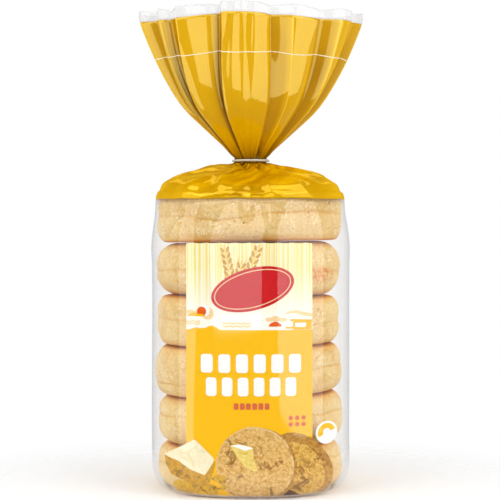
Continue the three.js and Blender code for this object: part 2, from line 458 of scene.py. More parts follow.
def scale_of(size):
    """The scale of a pattern on Object coordinates whose features are size metres across."""
    return 1 / size


# ---------------------------------------------------------------- finishes

def film_gloss(material, face_on, edge_on):
    """How much of the light a face of the film mirrors: a little face on, and more by the fifth power of
    its slant, as on any clear plastic."""
    facing = node(material, "LayerWeight", {"Blend": 0.5})
    steep = node(material, "Math", {0: facing.outputs["Facing"], 1: 5.0}, operation="POWER")
    return node(material, "Math",
                {0: steep, 1: edge_on - face_on, 2: face_on}, operation="MULTIPLY_ADD", use_clamp=True)


def clear_film_material(name, haze_code, haze_share):
    """Cast polypropylene film, unprinted: see-through, with two bright faces and a trace of haze."""
    material, spot = new_material(name)
    through = node(material, "BsdfTransparent", {"Color": (1, 1, 1, 1)})
    gloss = node(material, "BsdfGlossy", {"Color": (1, 1, 1, 1), "Roughness": 0.05})
    haze = node(material, "BsdfDiffuse", {"Color": colour(haze_code)})
    cloudy = node(material, "TexNoise", {"Vector": spot, "Scale": scale_of(30 * MM), "Detail": 2.0})
    share = node(material, "Math", {0: cloudy, 1: 2 * haze_share}, operation="MULTIPLY")
    hazed = node(material, "MixShader", {0: share, 1: through, 2: haze})
    film = node(material, "MixShader", {0: film_gloss(material, 0.03, 0.93), 1: hazed, 2: gloss})
    return finish_material(material, film)


def printed_film_material(name, mirrored, face_on):
    """Polypropylene film printed in warm yellow: even ink with a bright face that tints what it mirrors,
    brown where the film lies doubled on itself and as painted shade in its folds, and a painted highlight
    along each pleat's ridge."""
    material, spot = new_material(name)
    cloudy = node(material, "TexNoise", {"Vector": spot, "Scale": scale_of(22 * MM), "Detail": 2.0})
    ink = node(material, "Mix", {0: cloudy, 6: colour("#D5A000"), 7: colour("#DEA800")}, data_type="RGBA")
    # Painted shade: the ink is multiplied towards brown by the layers mark, where the film lies doubled and
    # where its folds would be in shade.
    layers = node(material, "Attribute", attribute_name="layers")
    ramp = node(material, "ValToRGB", {0: layers.outputs["Fac"]})
    ramp.color_ramp.elements[0].color = (1, 1, 1, 1)
    ramp.color_ramp.elements[1].color = colour("#857468")
    ramp.color_ramp.elements.new(0.55).color = colour("#CDBDB0")
    doubled_and_shaded = node(material, "Mix", {0: 1.0, 6: ink, 7: ramp}, data_type="RGBA", blend_type="MULTIPLY")
    # Painted highlight: the ink turns a pale yellow along each pleat's ridge, where a fold would catch the
    # light.
    crest_highlight = node(material, "Attribute", attribute_name="crest_highlight")
    painted_highlight = node(material, "Math", {0: crest_highlight.outputs["Fac"], 1: 0.7}, operation="MULTIPLY")
    with_highlight = node(material, "Mix", {0: painted_highlight, 6: doubled_and_shaded, 7: colour("#FFD24E")}, data_type="RGBA")
    matt = node(material, "BsdfPrincipled",
                {"Base Color": with_highlight, "Roughness": 0.5, "Specular IOR Level": 0.0})
    gloss = node(material, "BsdfGlossy", {"Color": colour(mirrored), "Roughness": 0.05})
    film = node(material, "MixShader", {0: film_gloss(material, face_on, 0.3), 1: matt, 2: gloss})
    return finish_material(material, film)


def ink_material(name, code, dark_code):
    """Flexographic ink on the inner face of the film: flat, with the slight mottle of its cells."""
    material, spot = new_material(name)
    grain = node(material, "TexNoise", {"Vector": spot, "Scale": scale_of(1.5 * MM), "Detail": 3.0})
    mottle = node(material, "MapRange", {0: grain, 1: 0.35, 2: 0.65})
    ink = node(material, "Mix", {0: mottle, 6: colour(code), 7: colour(dark_code)}, data_type="RGBA")
    return finish_ink(material, ink)


def striped_ink_material(name):
    """Cream ink with fine upright lines of pale yellow, which fade out downwards to white."""
    material, spot = new_material(name)
    apart = node(material, "SeparateXYZ", {0: spot})
    lines = node(material, "TexNoise",
                 {"W": apart.outputs["X"], "Scale": scale_of(1.1 * MM), "Detail": 1.0, "Roughness": 0.5},
                 noise_dimensions="1D")
    crisp = node(material, "MapRange", {0: lines, 1: 0.4, 2: 0.6}, interpolation_type="SMOOTHSTEP")
    high = node(material, "MapRange", {0: apart.outputs["Z"], 1: 84 * MM, 2: 108 * MM})
    amount = node(material, "Math", {0: crisp, 1: high}, operation="MULTIPLY")
    ground = node(material, "Mix", {0: high, 6: colour("#FFFDF0"), 7: colour("#FAF3D0")}, data_type="RGBA")
    ink = node(material, "Mix", {0: amount, 6: ground, 7: colour("#F6E284")}, data_type="RGBA")
    return finish_ink(material, ink)


def picture_ink_material(name, light, mid, dark, fine, broad):
    """Four-colour ink that pictures bread or cheese: three tones mottled at a fine and a broad size."""
    material, spot = new_material(name)
    flat = node(material, "Mapping", {"Vector": spot, "Scale": (1.0, 0.0, 1.0)})
    small = node(material, "TexNoise", {
        "Vector": flat, "Scale": scale_of(fine), "Detail": 4.0, "Roughness": 0.7, "Distortion": 0.8})
    large = node(material, "TexNoise", {
        "Vector": flat, "Scale": scale_of(broad), "Detail": 3.0, "Roughness": 0.6, "Distortion": 1.2})
    crumb = node(material, "MapRange", {0: small, 1: 0.4, 2: 0.62}, interpolation_type="SMOOTHSTEP")
    hollow = node(material, "MapRange",
                  {0: large, 1: 0.53, 2: 0.68, 4: 0.85}, interpolation_type="SMOOTHSTEP")
    tones = node(material, "Mix", {0: crumb, 6: colour(light), 7: colour(mid)}, data_type="RGBA")
    ink = node(material, "Mix", {0: hollow, 6: tones, 7: colour(dark)}, data_type="RGBA")
    return finish_ink(material, ink)


def crust_material():
    """Soft baked dough dusted with semolina: pale cream sides, golden where it met the griddle."""
    material, spot = new_material("griddled_dough_with_semolina")
    browning, contact, split, cheese = (
        node(material, "Attribute", attribute_name=mark).outputs["Fac"]
        for mark in ("browning", "contact", "split", "cheese"))
    patchy = node(material, "TexNoise",
                  {"Vector": spot, "Scale": scale_of(16 * MM), "Detail": 4.0, "Roughness": 0.6})
    warmer = node(material, "MapRange", {0: patchy, 1: 0.38, 2: 0.66}, interpolation_type="SMOOTHSTEP")
    # The dough's own grain, drawn a little coarser than life so that it shows.
    grainy = node(material, "TexNoise",
                  {"Vector": spot, "Scale": scale_of(1.4 * MM), "Detail": 3.0, "Roughness": 0.7})
    grained = node(material, "MapRange",
                   {0: grainy, 1: 0.45, 2: 0.66, 4: 0.65}, interpolation_type="SMOOTHSTEP")
    # Semolina: pale grains under a millimetre across, thicker in some places than others.
    grains = node(material, "TexVoronoi", {"Vector": spot, "Scale": scale_of(1.25 * MM)})
    dusty = node(material, "TexNoise", {"Vector": spot, "Scale": scale_of(9 * MM), "Detail": 2.0})
    reach = node(material, "MapRange", {0: dusty, 1: 0.38, 2: 0.64, 3: 0.1, 4: 0.36})
    dust = node(material, "Math", {0: grains.outputs["Distance"], 1: reach}, operation="LESS_THAN")
    dusted = node(material, "Math", {0: dust, 1: 0.75}, operation="MULTIPLY")
    # Golden browning near the griddled faces.
    uneven = node(material, "Math", {0: patchy, 1: 1.5, 2: 0.25}, operation="MULTIPLY_ADD")
    browned = node(material, "Math", {0: browning, 1: uneven}, operation="MULTIPLY", use_clamp=True)
    # The darker line where each muffin is split.
    crumbly = node(material, "Math", {0: grainy, 1: 1.7}, operation="MULTIPLY")
    torn = node(material, "Math", {0: split, 1: crumbly}, operation="MULTIPLY", use_clamp=True)
    # A few small brown specks.
    specks = node(material, "TexVoronoi", {"Vector": spot, "Scale": scale_of(9 * MM)})
    speck = node(material, "Math", {0: specks.outputs["Distance"], 1: 0.06}, operation="LESS_THAN")
    # Melted cheese that shows orange through one crust, in specks.
    melt_grain = node(material, "MapRange", {0: grainy, 1: 0.42, 2: 0.55}, interpolation_type="SMOOTHSTEP")
    melted = node(material, "Math", {0: cheese, 1: melt_grain}, operation="MULTIPLY")
    tone = colour("#E8CC8E")
    for share, code in (
        (warmer, "#DEB972"), (grained, "#D8A452"), (dusted, "#F6E6C2"),
        (browned, "#E4AA40"), (contact, "#CC7E04"), (torn, "#D8A240"),
        (speck, "#B98A4C"), (melted, "#DB8A4E"),
    ):
        tone = node(material, "Mix", {0: share, 6: tone, 7: colour(code)}, data_type="RGBA")
    rough = node(material, "Bump", {"Height": grainy, "Strength": 0.6, "Distance": 0.3 * MM})
    bumped = node(material, "Bump",
                  {"Height": dust, "Strength": 0.5, "Distance": 0.12 * MM, "Normal": rough})
    crust = node(material, "BsdfPrincipled", {
        "Base Color": tone, "Roughness": 0.85, "IOR": 1.4, "Normal": bumped,
        "Subsurface Weight": 0.4, "Subsurface Radius": (0.9, 0.8, 0.35), "Subsurface Scale": 5 * MM,
    })
    return finish_material(material, crust)


def tie_material():
    """A plastic-coated wire tie: white polyethylene with a soft sheen, very slightly yellowed."""
    material, spot = new_material("white_polyethylene_tie")
    scuff = node(material, "TexNoise", {"Vector": spot, "Scale": scale_of(1.2 * MM), "Detail": 3.0})
    tone = node(material, "Mix", {0: scuff, 6: colour("#CAC4B8"), 7: colour("#B4AD9F")}, data_type="RGBA")
    dull = node(material, "MapRange", {0: scuff, 1: 0.3, 2: 0.7, 3: 0.3, 4: 0.5})
    strip = node(material, "BsdfPrincipled", {"Base Color": tone, "Roughness": dull, "IOR": 1.5})
    return finish_material(material, strip)


CLEAR_FILM = clear_film_material("clear_polypropylene_film", "#E8E8E8", 0.005)
RIM_FILM = clear_film_material("unprinted_rim_film", "#E6E6E6", 0.28)
MOUTH_FILM = printed_film_material("yellow_printed_mouth_film", "#FFFFAC", 0.1)
SHOULDER_FILM = printed_film_material("yellow_printed_shoulder_film", "#FFDC50", 0.16)
TEAR_LINE_INK = ink_material("white_perforated_film", "#F7F1DC", "#EFE4BC")
CRUST = crust_material()
TIE = tie_material()

# ---------------------------------------------------------------- the six muffins

# Where each muffin meets the next, as heights at the left and right edge of the stack.
LEVELS = [
    (0.5 * MM, 0.5 * MM),
    (21.8 * MM, 23 * MM),
    (44.3 * MM, 47.2 * MM),
    (68.8 * MM, 70 * MM),
    (93.1 * MM, 92.8 * MM),
    (118.1 * MM, 119.6 * MM),
    (143.2 * MM, 143.6 * MM),
]
# For each muffin, from the lowest: radius, how far left or right it sits, how far its rounded side
# reaches in, and how square that rounding is (2 is an ellipse).
MUFFINS = [
    (45.4 * MM, -0.3 * MM, 9.5 * MM, 2.4),
    (45.5 * MM, -0.4 * MM, 9.0 * MM, 2.5),
    (45.7 * MM, -1.0 * MM, 9.0 * MM, 2.8),
    (44.9 * MM, -1.4 * MM, 8.0 * MM, 3.0),
    (45.4 * MM, -1.4 * MM, 11.5 * MM, 2.1),
    (45.5 * MM, -0.4 * MM, 7.5 * MM, 3.3),
]
# Where the fork-split runs round each muffin, as (degrees from +X, share of its half height).
SPLITS = [
    [(20, 0.1), (100, 0.0), (180, 0.1), (250, 0.3), (310, 0.5)],
    [(10, 0.2), (90, 0.1), (180, 0.2), (230, 0.3), (300, 0.25), (340, 0.28)],
    [(0, 0.1), (90, -0.1), (180, -0.4), (225, -0.45), (270, -0.1), (320, 0.1)],
    [(0, 0.0), (100, 0.1), (180, 0.1), (240, 0.05), (300, -0.1)],
    [(0, -0.1), (90, 0.1), (180, -0.05), (230, 0.0), (290, -0.1)],
    [(0, 0.1), (90, 0.0), (180, 0.02), (226, 0.0), (250, -0.17), (277, 0.03), (300, 0.12), (340, 0.1)],
]
# Folds where one side of a muffin laps over itself, in the same terms.
FOLDS = {
    2: [(308, 0.35), (322, 0.72), (331, 0.78), (336, 0.5), (329, 0.1)],
    5: [(226, 0.02), (219, -0.15), (214, -0.5), (206, -0.82)],
}
FOLD_REACH = 40  # a fold has faded out this far round from its start, in degrees
SPLIT_WIDTH = 0.42 * MM
SPLIT_PINCH = 3.2 * MM  # how far above and below its split a muffin's side draws in
FOLD_WIDTH = 0.5 * MM
FOLD_PINCH = 2.5 * MM
CHEESE_MUFFIN = 4  # counted from 0 at the foot
CHEESE_SPOT = (33 * MM, 103.3 * MM)  # where melted cheese shows through its crust, as (x, z)
CHEESE_SPREAD = (8 * MM, 4.2 * MM)
LEVEL_GAP = 0.12 * MM  # between a muffin's face and its level
MOST_BROWNING = 0.55
TOP_MUFFIN_FLAT = 36 * MM  # the film stands well clear of the top muffin within this radius
FILM_CLEARANCE = 0.8 * MM
MUFFIN_STEPS = 300
SIDE_ROWS = 84


def level_at(level, x):
    """The height of a level at x, as the stack's faces tilt a little."""
    left, right = level
    return mix(left, right, (x + SIDE) / (2 * SIDE))


def muffin_profile(radius, rounding, square):
    """(half width, height from -1 to 1) from the middle of the lower face round to the upper."""
    rings = 9
    flat = radius - rounding
    lower = [(flat * ring / rings, -1) for ring in range(rings)]
    side = []
    for row in range(SIDE_ROWS + 1):
        height = math.sin(TURN / 4 * (2 * row / SIDE_ROWS - 1))
        side.append((flat + rounding * (1 - abs(height) ** square) ** (1 / square), height))
    upper = [(flat * ring / rings, 1) for ring in reversed(range(rings))]
    return lower + side + upper


def split_line(knots):
    """The split's height for each whole degree round the muffin."""
    last, first = knots[-1], knots[0]
    closed = [(last[0] - 360, last[1]), *knots, (first[0] + 360, first[1])]
    line = smooth_line(closed, 12)
    heights = []
    for degrees in range(361):
        after = bisect.bisect_right(line, (degrees, 9), 1, len(line) - 1)
        (low, a), (high, b) = line[after - 1], line[after]
        heights.append(mix(a, b, (degrees - low) / (high - low)))
    return heights


def tuck_inside_film(shape):
    """Draws in whatever would touch the film where it leans in over the top muffin."""
    for vert in shape.verts:
        reach = vert.co.xy.length
        if vert.co.z < SHOULDER or reach < TOP_MUFFIN_FLAT:
            continue
        angle = math.atan2(vert.co.y, vert.co.x)
        over = vert.co.z + 1.2 * MM
        room = film_point(angle, half_width_at(over), over).xy.length - FILM_WALL - FILM_CLEARANCE
        if reach > room:
            vert.co.xy *= room / reach


def make_muffin(number, radius, aside, rounding, square):
    low, high = LEVELS[number], LEVELS[number + 1]
    own = Vector((0, 0, 17.3 * number))  # each muffin has its own stretch of noise
    shape = spun(muffin_profile(radius, rounding, square), MUFFIN_STEPS)
    browning, contact, split, cheese = (
        shape.verts.layers.float.new(mark) for mark in ("browning", "contact", "split", "cheese"))
    half_height = (sum(high) - sum(low)) / 4
    splits = split_line(SPLITS[number])
    fold = smooth_line(FOLDS[number], 8) if number in FOLDS else []
    for vert in shape.verts:
        angle = math.atan2(vert.co.y, vert.co.x) % TURN
        degrees = math.degrees(angle)
        half_width = math.hypot(vert.co.x, vert.co.y)
        level = vert.co.z
        side = between(radius - rounding - 4 * MM, radius - 2 * MM, half_width)
        # The fork-split line, deeper in some places than others. Sunk is in millimetres.
        ragged = 0.07 * noise.noise(round_the_bag(angle, 9.0, 9 + own.z))
        off = (level - splits[int(degrees)] - ragged) * half_height
        line = fading(off, SPLIT_WIDTH) * side
        shown = 0.3 + 0.7 * ease(noise.noise(round_the_bag(angle, 2.2, 5 + own.z)) + 0.55)
        sunk = 0.5 * line * shown + 0.55 * fading(off, SPLIT_PINCH) * side
        if fold and abs(degrees - fold[0][0]) < FOLD_REACH:
            away = min(math.hypot(math.radians(degrees - at) * radius, (level - up) * half_height)
                       for at, up in fold)
            crease = fading(away, FOLD_WIDTH)
            sunk += 0.8 * crease + 0.5 * fading(away, FOLD_PINCH)
            line = max(line, crease)
            shown = max(shown, 0.8 * crease)
        # The outline is never a true circle.
        outline = 1 + 0.012 * noise.noise(round_the_bag(angle, 1.2, own.z + 1))
        half_width = half_width * outline - sunk * MM
        x = half_width * math.cos(angle) + aside
        floor = level_at(low, x) + LEVEL_GAP
        roof = level_at(high, x) - LEVEL_GAP
        vert.co = Vector((x, half_width * math.sin(angle), mix(floor, roof, (level + 1) / 2)))
        vert[split] = line * shown
        vert[browning] = MOST_BROWNING * between(0.62, 0.97, abs(level))
        vert[contact] = between(0.88, 0.99, abs(level))
        if number == CHEESE_MUFFIN and vert.co.y < 0:
            off = [(at - spot) / spread for at, spot, spread in zip(vert.co.xz, CHEESE_SPOT, CHEESE_SPREAD)]
            vert[cheese] = between(1.1, 0.5, math.hypot(*off))
    # Dents of three sizes, shallower on the griddled faces.
    shape.normal_update()
    for vert in shape.verts:
        place = vert.co + own
        dent = 0.9 * noise.noise(place / (18 * MM)) + 0.22 * noise.noise(place / (5 * MM))
        dent += 0.07 * noise.noise(place / (1.7 * MM))
        flat = between(0.6, 0.95, abs(vert.normal.z))
        vert.co += vert.normal * (dent - 0.25) * MM * (1 - 0.85 * flat)
    tuck_inside_film(shape)
    return piece(f"muffin_{number + 1}", shape, CRUST)


muffins = [make_muffin(number, *sizes) for number, sizes in enumerate(MUFFINS)]

# ---------------------------------------------------------------- the film

NECK_MIDDLE = (NECK_LOW + NECK_HIGH) / 2
PRINT_TOP = RIM - RIM_STRIP
TEAR_HALF_WIDTH = 0.2 * MM
TEAR_RAISED = 0.06 * MM


def film_piece(name, shell, material):
    """A piece of film, its wall on the inner side of the shell."""
    bmesh.ops.solidify(shell, geom=shell.faces[:], thickness=FILM_WALL)
    return piece(name, shell, material)


body_shell = film_shell(base_rows() + rows_up(BASE_CORNER, PRINT_EDGE, 3 * MM))
FILM_TREE = BVHTree.FromBMesh(body_shell)
film_body = film_piece("film_body", body_shell, CLEAR_FILM)
shoulder_shell = film_shell(rows_up(PRINT_EDGE, NECK_MIDDLE, 1.1 * MM))
film_shoulder = film_piece("film_shoulder", shoulder_shell, SHOULDER_FILM)
film_mouth = film_piece("film_mouth", film_shell(rows_up(NECK_MIDDLE, PRINT_TOP, 1.4 * MM)), MOUTH_FILM)
film_rim = film_piece("film_rim_strip", film_shell(rows_up(PRINT_TOP, RIM, 1.2 * MM)), RIM_FILM)

# The line of perforations across the mouth shows white through the ink.
tear_height = RIM - TEAR_LINE
tear_shell = film_shell(rows_up(tear_height - TEAR_HALF_WIDTH, tear_height + TEAR_HALF_WIDTH, 0.2 * MM))
for vert in tear_shell.verts:
    vert.co += vert.normal * TEAR_RAISED
tear_line = film_piece("tear_line", tear_shell, TEAR_LINE_INK)

# ---------------------------------------------------------------- the print on the film

# Drawings are flat, as (x, z) in millimetres from the middle of the pack's foot. Each ink lies in a
# numbered layer, counted in ink gaps from the film inwards, so a low number covers a high one.
PANEL_LEFT, PANEL_RIGHT = -30.1, 28.6
PANEL_TOP = 118.6
STRIPED_FOOT = 76  # the striped top runs on a little behind the yellow field
FIELD_TOP = 78.4
FOOT = 1.2
INK_GAP = 0.07 * MM
PRINT_CELL = 1 * MM  # how finely a drawing is cut so that it can bend

print_pieces = []


def add_disc(drawing, x, z, half_width, half_height=None, tilt=0, points=40):
    """A filled ellipse, turned by tilt degrees."""
    size = Vector((half_width, half_height or half_width, 1)) * MM
    turned = Matrix.Rotation(math.radians(tilt), 4, "Z") @ Matrix.Diagonal((*size, 1))
    bmesh.ops.create_circle(drawing, cap_ends=True, segments=points, radius=1,
                            matrix=upright_at(x * MM, z * MM) @ turned)


def add_bar(drawing, x, z, width, height, corner):
    """A rounded bar with its middle at (x, z)."""
    size = Matrix.Diagonal((width * MM / 2, height * MM / 2, 1, 1))
    made = bmesh.ops.create_grid(drawing, x_segments=1, y_segments=1, size=1,
                                 matrix=upright_at(x * MM, z * MM) @ size)
    bmesh.ops.bevel(drawing, geom=made["verts"], offset=corner * MM, segments=4, profile=0.5,
                    affect="VERTICES", material=-1)


def dice(drawing, cell):
    """Cuts a flat drawing into a grid, so that it can bend."""
    for axis in (0, 2):
        places = [vert.co[axis] for vert in drawing.verts]
        for line in range(math.ceil(min(places) / cell), math.floor(max(places) / cell) + 1):
            point, normal = Vector(), Vector()
            point[axis] = line * cell
            normal[axis] = 1
            everything = drawing.verts[:] + drawing.edges[:] + drawing.faces[:]
            bmesh.ops.bisect_plane(drawing, geom=everything, plane_co=point, plane_no=normal, dist=0.001 * MM)


def print_on_film(name, ink, layer, areas=(), discs=(), bars=(), side=-1):
    """One ink's drawing, wrapped round the inner face of the film on the front (-1) or the back (1)."""
    drawing = bmesh.new()
    for outline in areas:
        drawing.faces.new([drawing.verts.new((x * MM, 0, z * MM)) for x, z in outline])
    for disc in discs:
        add_disc(drawing, *disc)
    for bar in bars:
        add_bar(drawing, *bar)
    bmesh.ops.triangulate(drawing, faces=[face for face in drawing.faces if len(face.verts) > 4])
    dice(drawing, PRINT_CELL)
    inwards = Vector((0, -side, 0))
    for vert in drawing.verts:
        start = Vector((vert.co.x, side * 2 * SIDE, vert.co.z))
        place, normal, _, _ = FILM_TREE.ray_cast(start, inwards)
        vert.co = place - normal * (FILM_WALL + layer * INK_GAP)
    drawing.normal_update()
    wrong_way = [face for face in drawing.faces if face.normal.dot(inwards) > 0]
    bmesh.ops.reverse_faces(drawing, faces=wrong_way)
    print_pieces.append(piece(name, drawing, ink))


WHITE_INK = ink_material("white_ink", "#FFFFFF", "#FBF9F2")
YELLOW_INK = ink_material("yellow_field_ink", "#FDC402", "#F9BF00")
RED_INK = ink_material("red_plaque_ink", "#D60F18", "#C60C15")
CREAM_INK = ink_material("cream_line_ink", "#FBE9BE", "#F6DDA6")
TAN_INK = ink_material("pale_tan_ink", "#FBDCA8", "#F8D596")
ORANGE_INK = ink_material("sun_orange_ink", "#EB640C", "#E65C08")
CORAL_INK = ink_material("small_print_coral_ink", "#DE6E44", "#D8663C")
GOLD_INK = ink_material("wheat_gold_ink", "#E3B04A", "#CC9634")
PALE_GOLD_INK = ink_material("wheat_pale_ink", "#F6DE94", "#EBCB74")
SHADOW_INK = ink_material("pictured_shadow_ink", "#6B3D14", "#57300F")
STRIPED_INK = striped_ink_material("cream_striped_ink")
(CRUMB_INK, DARK_CRUMB_INK, BACK_CRUMB_INK, CRUST_INK, CHEESE_TOP_INK, CHEESE_SIDE_INK, CHEESE_CRUMB_INK,
 BUTTER_INK) = (
    picture_ink_material(f"pictured_{name}_ink", light, mid, dark, fine * MM, broad * MM)
    for name, light, mid, dark, fine, broad in (
        ("crumb", "#EAC57E", "#CF9A46", "#8C5A1A", 1.6, 6),
        ("browned_crumb", "#CC9A46", "#A97228", "#703F10", 1.6, 6),
        ("far_crumb", "#E8BE60", "#C48E34", "#7A4A10", 1.6, 5),
        ("crust", "#EDD09A", "#DDB46C", "#BD863E", 0.9, 4),
        ("cheese_top", "#F8EECF", "#F3E6BD", "#EBD9A2", 1.2, 7),
        ("cheese_side", "#D6A328", "#BE8914", "#8F6106", 1.5, 6),
        ("cheese_crumb", "#E2B630", "#CA9216", "#865804", 1.5, 3),
        ("butter", "#F1DC88", "#E7CA62", "#D6B242", 1.5, 5),
    ))

# The panel: a striped cream top, scalloped along its edge, over a yellow field with two low hills.
SCALLOPS = 9
SCALLOP_STEPS = 72
scalloped = [(mix(PANEL_RIGHT, PANEL_LEFT, step / SCALLOP_STEPS),
              PANEL_TOP - 0.3 * abs(math.cos(math.pi * SCALLOPS * step / SCALLOP_STEPS)))
             for step in range(SCALLOP_STEPS + 1)]
striped_top = scalloped + [(PANEL_LEFT, STRIPED_FOOT), (PANEL_RIGHT, STRIPED_FOOT)]
print_on_film("print_panel", STRIPED_INK, 5, [striped_top])
print_on_film("print_yellow_field", YELLOW_INK, 4, [[
    (PANEL_LEFT, FIELD_TOP), (-28.5, 78.5), (-27, 79.2), (-25.4, 79.5), (-23.8, 79.1), (-22.4, 78.6),
    (-20.8, 79.4), (-19.2, 80.3), (-17.6, 80.4), (-16, 79.6), (-14.2, 78.5), (PANEL_RIGHT, FIELD_TOP),
    (PANEL_RIGHT, FOOT), (PANEL_LEFT, FOOT)]])

# A sun going down behind hills, a beach hut, a sunshade and the sea, as simple shapes.
far_hills = [
    [(PANEL_LEFT, 87.3), (-28, 87.7), (-25, 86.8), (-24, 85.8), (PANEL_LEFT, 85.8)],
    [(14.7, 85.4), (17.8, 87.1), (20.9, 87.6), (24, 86.8), (PANEL_RIGHT, 86), (PANEL_RIGHT, 84.3),
     (25.2, 84.8), (22.1, 85.8), (19.7, 86.3), (17.2, 86)],
]
print_on_film("print_far_hills", TAN_INK, 4, far_hills,
              [(-19.9, 86, 2.8), (8.4, 83.3, 1.7, 1), (11.4, 83.7, 2, 1.3), (14.6, 83.2, 2.2, 0.9)])
print_on_film("print_sky_gap", WHITE_INK, 3, discs=[(-21.6, 87.2, 2.7)])
sunshade = [(8.2, 80.1), (8.7, 81.2), (9.8, 82), (11.2, 82.3), (12.6, 82), (13.7, 81.2), (14.2, 80.1)]
print_on_film("print_sun_and_sunshade", ORANGE_INK, 2, [sunshade], [(-22.8, 86.9, 2.15)])


def sea_wave(left, right, top, hump=3.2, dip=0.8, thickness=0.35, steps=48):
    """A thin band along a row of humps."""
    humps = round((right - left) / hump)
    line = [(mix(left, right, step / steps), top - dip * abs(math.sin(math.pi * humps * step / steps)))
            for step in range(steps + 1)]
    above = [(x, z + thickness / 2) for x, z in line]
    return above + [(x, z - thickness / 2) for x, z in reversed(line)]


hut_and_waves = [
    [(PANEL_LEFT, 84.8), (-27.8, 85.9), (-26, 86.4), (-24.3, 85.8), (-22.2, 85.6), (-20.7, 84.6)],
    [(18.2, 83.5), (28.4, 83.1), (28.4, 81.9), (18.2, 82.6)],
    [(19.6, 82.4), (28.2, 82.2), (28.2, 78.6), (19.6, 78.6)],
    [(16, 79.9), (19.6, 79.9), (19.6, 79.2), (16, 79.2)],
    sea_wave(-30, -23.6, 82.8), sea_wave(-30, -23.6, 81.7),
    sea_wave(-12.9, 0, 82.1), sea_wave(-12.9, 0, 80.7),
]
print_on_film("print_hut_and_waves", YELLOW_INK, 1, hut_and_waves)
print_on_film("print_hut_window", WHITE_INK, 0.5, [[(20.4, 81.7), (25.4, 81.7), (25.4, 79.8), (20.4, 79.8)]])

# Three ears of wheat above a blank red plaque.
HALF_GRAIN = (1.75, 0.68)  # half a grain's length and half its width
AWN = 3.4  # the length of the bristle on each grain


def ear_of_wheat(foot, tip, pairs):
    """(side grains, awns, middle grains) up a stalk from foot to tip."""
    foot, tip = Vector(foot), Vector(tip)
    lean = math.degrees(math.atan2(tip.y - foot.y, tip.x - foot.x))
    across = (tip - foot).orthogonal().normalized() * 1.7
    grains, awns, middles = [], [], []
    for pair in range(pairs):
        share = (pair + 0.5) / pairs
        for way in (-1, 1):
            spot = foot.lerp(tip, share) + across * way * (1 - 0.35 * share)
            long, wide = HALF_GRAIN
            grains.append((*spot, long * (1 - 0.2 * share), wide, lean + 26 * way, 14))
            along = Matrix.Rotation(math.radians(lean + 12 * way), 2) @ Vector((1, 0))
            start = spot + along * 1.2
            end = start + along * AWN
            side = along.orthogonal() * 0.14
            if end.y < PANEL_TOP - 0.6:
                awns.append([start - side, start + side, end])
        middles.append((*foot.lerp(tip, (pair + 0.95) / pairs), 1.25, 0.55, lean, 12))
    return grains, awns, middles


EARS = (((-8.6, 98), (-12.2, 116.5), 7), ((-6.4, 98), (-4.2, 109.5), 4), ((-3.6, 98), (3.8, 117), 7))
grains, awns, middle_grains = (sum(parts, []) for parts in zip(*(ear_of_wheat(*ear) for ear in EARS)))
print_on_film("print_wheat", GOLD_INK, 4, awns, grains)
print_on_film("print_wheat_light", PALE_GOLD_INK, 3.5, discs=middle_grains)

PLAQUE = (0.8, 97.2)
PLAQUE_TILT = 15
PLAQUE_POINTS = 72
for name, half_width, half_height, ink, layer in (
    ("print_plaque", 19.6, 9.6, RED_INK, 3),
    ("print_plaque_line", 18.2, 8.3, CREAM_INK, 2),
    ("print_plaque_middle", 17.8, 7.9, RED_INK, 1),
):
    oval = (*PLAQUE, half_width, half_height, PLAQUE_TILT, PLAQUE_POINTS)
    print_on_film(name, ink, layer, discs=[oval])

# Plain bars and dots where a pack has its words.
upper_bars = [(-20.4 + 8.15 * column, 63.1, 5.6, 8.6, 1.4) for column in range(6)]
lower_bars = [(-18.3 + 7.35 * column, 52.4, 5, 8.6, 1.4) for column in range(6)]
print_on_film("print_white_bars", WHITE_INK, 3, bars=upper_bars + lower_bars)
small_bars = [(-6.8 + 2.85 * column, 43.4, 2.2, 3, 0.6) for column in range(6)]
dots = [(18.4 + 3 * column, 38 - 3 * row, 1.05, 1.05, 0, 20) for column in range(3) for row in range(2)]
print_on_film("print_small_bars", CORAL_INK, 3, discs=dots, bars=small_bars)

# A picture of toasted muffin halves with butter, and a block of cheese.
print_on_film("print_back_half_crust", DARK_CRUMB_INK, 3.5, [[
    (13.6, FOOT), (12, 12), (14.1, 30.4), (17, 31.2), (20.3, 31.3), (24.5, 30.2), (28.3, 28.3),
    (31.6, 25.4), (34.4, 22.1), (36.8, 18.6), (38.2, 15.4), (38.9, 12.2), (38.7, 9.2), (37.9, 6),
    (36.3, 3.1), (34.6, FOOT)]])
print_on_film("print_back_half_crumb", BACK_CRUMB_INK, 3, [[
    (14, FOOT), (16, 10), (17.5, 27.2), (21.5, 26.8), (26, 25), (30.2, 21.2), (33.4, 16.6), (35, 11.6),
    (34.3, 6.2), (31.5, FOOT)]])
print_on_film("print_picture_shadow", SHADOW_INK, 2.6, [[(12.2, FOOT), (15.4, 4), (18.8, 4.2), (23, FOOT)]])

HALF_X, HALF_Z = 1.9, 16
for name, aside, up, radius, ink, layer in (
    ("print_half_crust", 0, 0, 18, CRUST_INK, 1.6),
    ("print_half_shade", 1.1, -0.4, 18.2, DARK_CRUMB_INK, 2.1),
    ("print_half_crumb", -0.3, 0, 17.3, CRUMB_INK, 1.1),
):
    # A muffin half seen face on, its lower edge cut off by the foot of the pack.
    sweep = math.asin((HALF_Z + up - FOOT) / radius)
    outline = []
    for step in range(61):
        angle = mix(-sweep, math.pi + sweep, step / 60)
        rough = radius + 0.35 * noise.noise(round_the_bag(angle, 3.5, 2))
        outline.append((HALF_X + aside + rough * math.cos(angle), HALF_Z + up + rough * math.sin(angle)))
    print_on_film(name, ink, layer, [outline])

